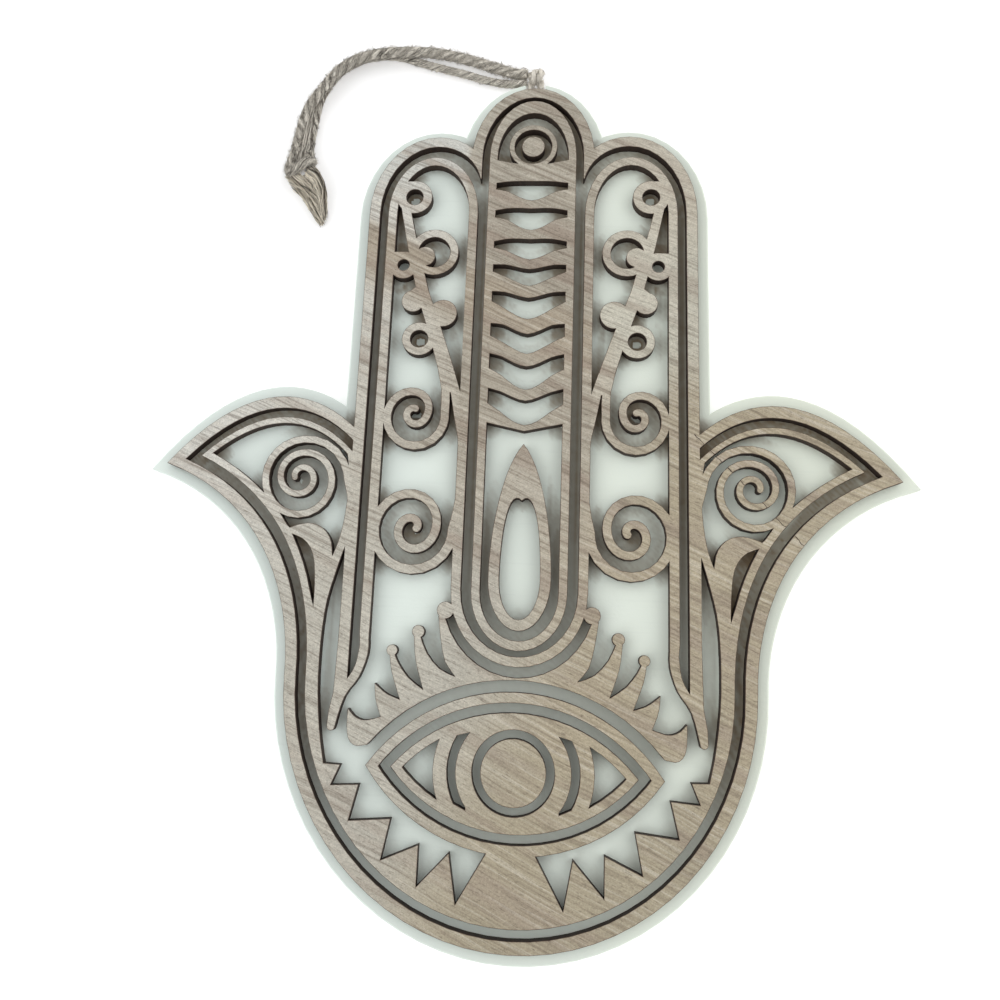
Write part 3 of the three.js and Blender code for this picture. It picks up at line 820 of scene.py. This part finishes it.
OVER, UNDER, KNOTTED = 1.5 * MM, 1.1 * MM, 1.45 * MM
out_line = route(STRAND_OUT)
in_line = route(STRAND_IN)
knot_lines = [route(KNOT_OUT), route(KNOT_IN)]
strand_out = twine("twine_over", [out_line], "twine_loop", OVER, -11.4 * MM)
strand_in = twine("twine_under", [in_line], "twine_loop", UNDER, -9 * MM)
knot = twine("end_knot", knot_lines, "twine_loop", KNOTTED, -16 * MM)
tail_out = frayed("tail_over", LOCK_LONG, 4.2 * MM, 2.6 * MM, 11, FRAYED)
tail_in = frayed("tail_under", LOCK_SIDE, 5.6 * MM, 2.4 * MM, 23, FRAYED)
out_extras = [
    fibres("fibres_over", [out_line], "twine_loop", OVER, -11.4 * MM, 61),
    fibres("fibres_knot", knot_lines, "twine_loop", KNOTTED, -16 * MM, 67),
    frayed("lock_upper", LOCK_UPPER, 4.0 * MM, 3.4 * MM, 29, FRAYED),
    frayed("knot_fan", FAN, 2.4 * MM, 6.4 * MM, 47, JUTE, 130),
    fuzz("fuzz_over", strand_out, "twine_loop", 1.1 * MM, 31),
    fuzz("fuzz_knot", knot, "twine_loop", 1.1 * MM, 41),
]
in_extras = [
    fibres("fibres_under", [in_line], "twine_loop", UNDER, -9 * MM, 71),
    frayed("lock_tip", LOCK_TIP, 3.2 * MM, 1.8 * MM, 17, FRAYED),
    fuzz("fuzz_under", strand_in, "twine_loop", 0.7 * MM, 37),
]

# Two turns of twine round the bight on the board's edge, from right to left.
TURNS_AT = (0.12681, 0.0026)
TURNS_R, TURNS_WIDE = 1.4 * MM, 3.2 * MM
turns = []
for i in range(41):
    angle = i * pi / 10
    x = TURNS_WIDE * (0.5 - i / 40)
    turns.append((x, TURNS_AT[0] + TURNS_R * cos(angle), TURNS_AT[1] + TURNS_R * sin(angle)))
hitch = twine("edge_hitch", [route(BIGHT), route(turns)], "hand", UNDER, -9 * MM)
hitch_fuzz = fuzz("fuzz_hitch", hitch, "hand", 0.5 * MM, 43)

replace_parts(strand_out, "twine_strand_out")
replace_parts(strand_in, "twine_strand_in")
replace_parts(knot, "twine_knot")
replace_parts(tail_out, "twine_tail_out")
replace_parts(tail_in, "twine_tail_in")
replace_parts(hitch, "twine_hitch")


# Floor, light and camera.

def floor_finish():
    material, net = finish_net("pale_floor")
    mm = object_mm(net)
    cloud = net.noise(mm, (0.004, 0.004, 0.004))
    base = net.mix(cloud, srgb(228, 228, 228), srgb(231, 231, 231))
    shade(
        net, base, 0.9, cloud, 0.00001,
        Emission_Color=(1.0, 1.0, 1.0, 1.0), Emission_Strength=0.36,
    )
    return material


FLOOR = 20.0  # half the side of the floor, in metres
floor_mesh = bpy.data.meshes.new("table_top")
corners = [(-FLOOR, -FLOOR, 0), (FLOOR, -FLOOR, 0), (FLOOR, FLOOR, 0), (-FLOOR, FLOOR, 0)]
floor_mesh.from_pydata(corners, [], [(0, 1, 2, 3)])
floor_mesh.materials.append(floor_finish())
floor = bpy.data.objects.new("table_top", floor_mesh)
floor.location.z = -0.0002
scene.collection.objects.link(floor)


def soft_room():
    """Light mostly from two bright walls, left and right, a little turned."""
    made = bpy.data.worlds.new("soft_room")
    made.use_nodes = True
    made.node_tree.nodes.clear()
    net = Net(made.node_tree)
    way = net.node("ShaderNodeTexCoord", out="Generated")
    turned = net.node("ShaderNodeMapping", {}, {"Vector": way, "Rotation": (0, 0, radians(-15))})
    rise = split(net, way, "Z")
    walls = abs(split(net, turned, "X")).step(0.1, 0.9) * rise.step(0.05, 0.3)
    light = 0.36 + 1.6 * walls + 0.64 * rise.step(0.1, 0.0)
    sky = net.node("ShaderNodeBackground", {}, {"Color": (1, 1, 1, 1), "Strength": light})
    net.node("ShaderNodeOutputWorld", {}, {"Surface": sky})
    return made


scene.world = soft_room()


def soft_light(name, place, aim, size, power):
    lamp = bpy.data.lights.new(name, "AREA")
    lamp.size = size
    lamp.energy = power
    made = bpy.data.objects.new(name, lamp)
    made.location = place
    made.rotation_euler = (Vector(aim) - Vector(place)).to_track_quat("-Z", "Y").to_euler()
    scene.collection.objects.link(made)


soft_light("window", (-0.5, 0.7, 1.1), (0, 0, 0), 0.8, 1.5)

camera = bpy.data.objects.new("camera", bpy.data.cameras.new("camera"))
camera.location = (0.007893, -0.047114, 0.245042)
camera.rotation_euler = (radians(12.3176), radians(4.2869), radians(2.4333))
camera.data.sensor_width = 36.0
camera.data.lens = 31.795
camera.data.shift_x = 0.0209
camera.data.shift_y = -0.0394
camera.data.clip_start = 0.01
scene.collection.objects.link(camera)
scene.camera = camera
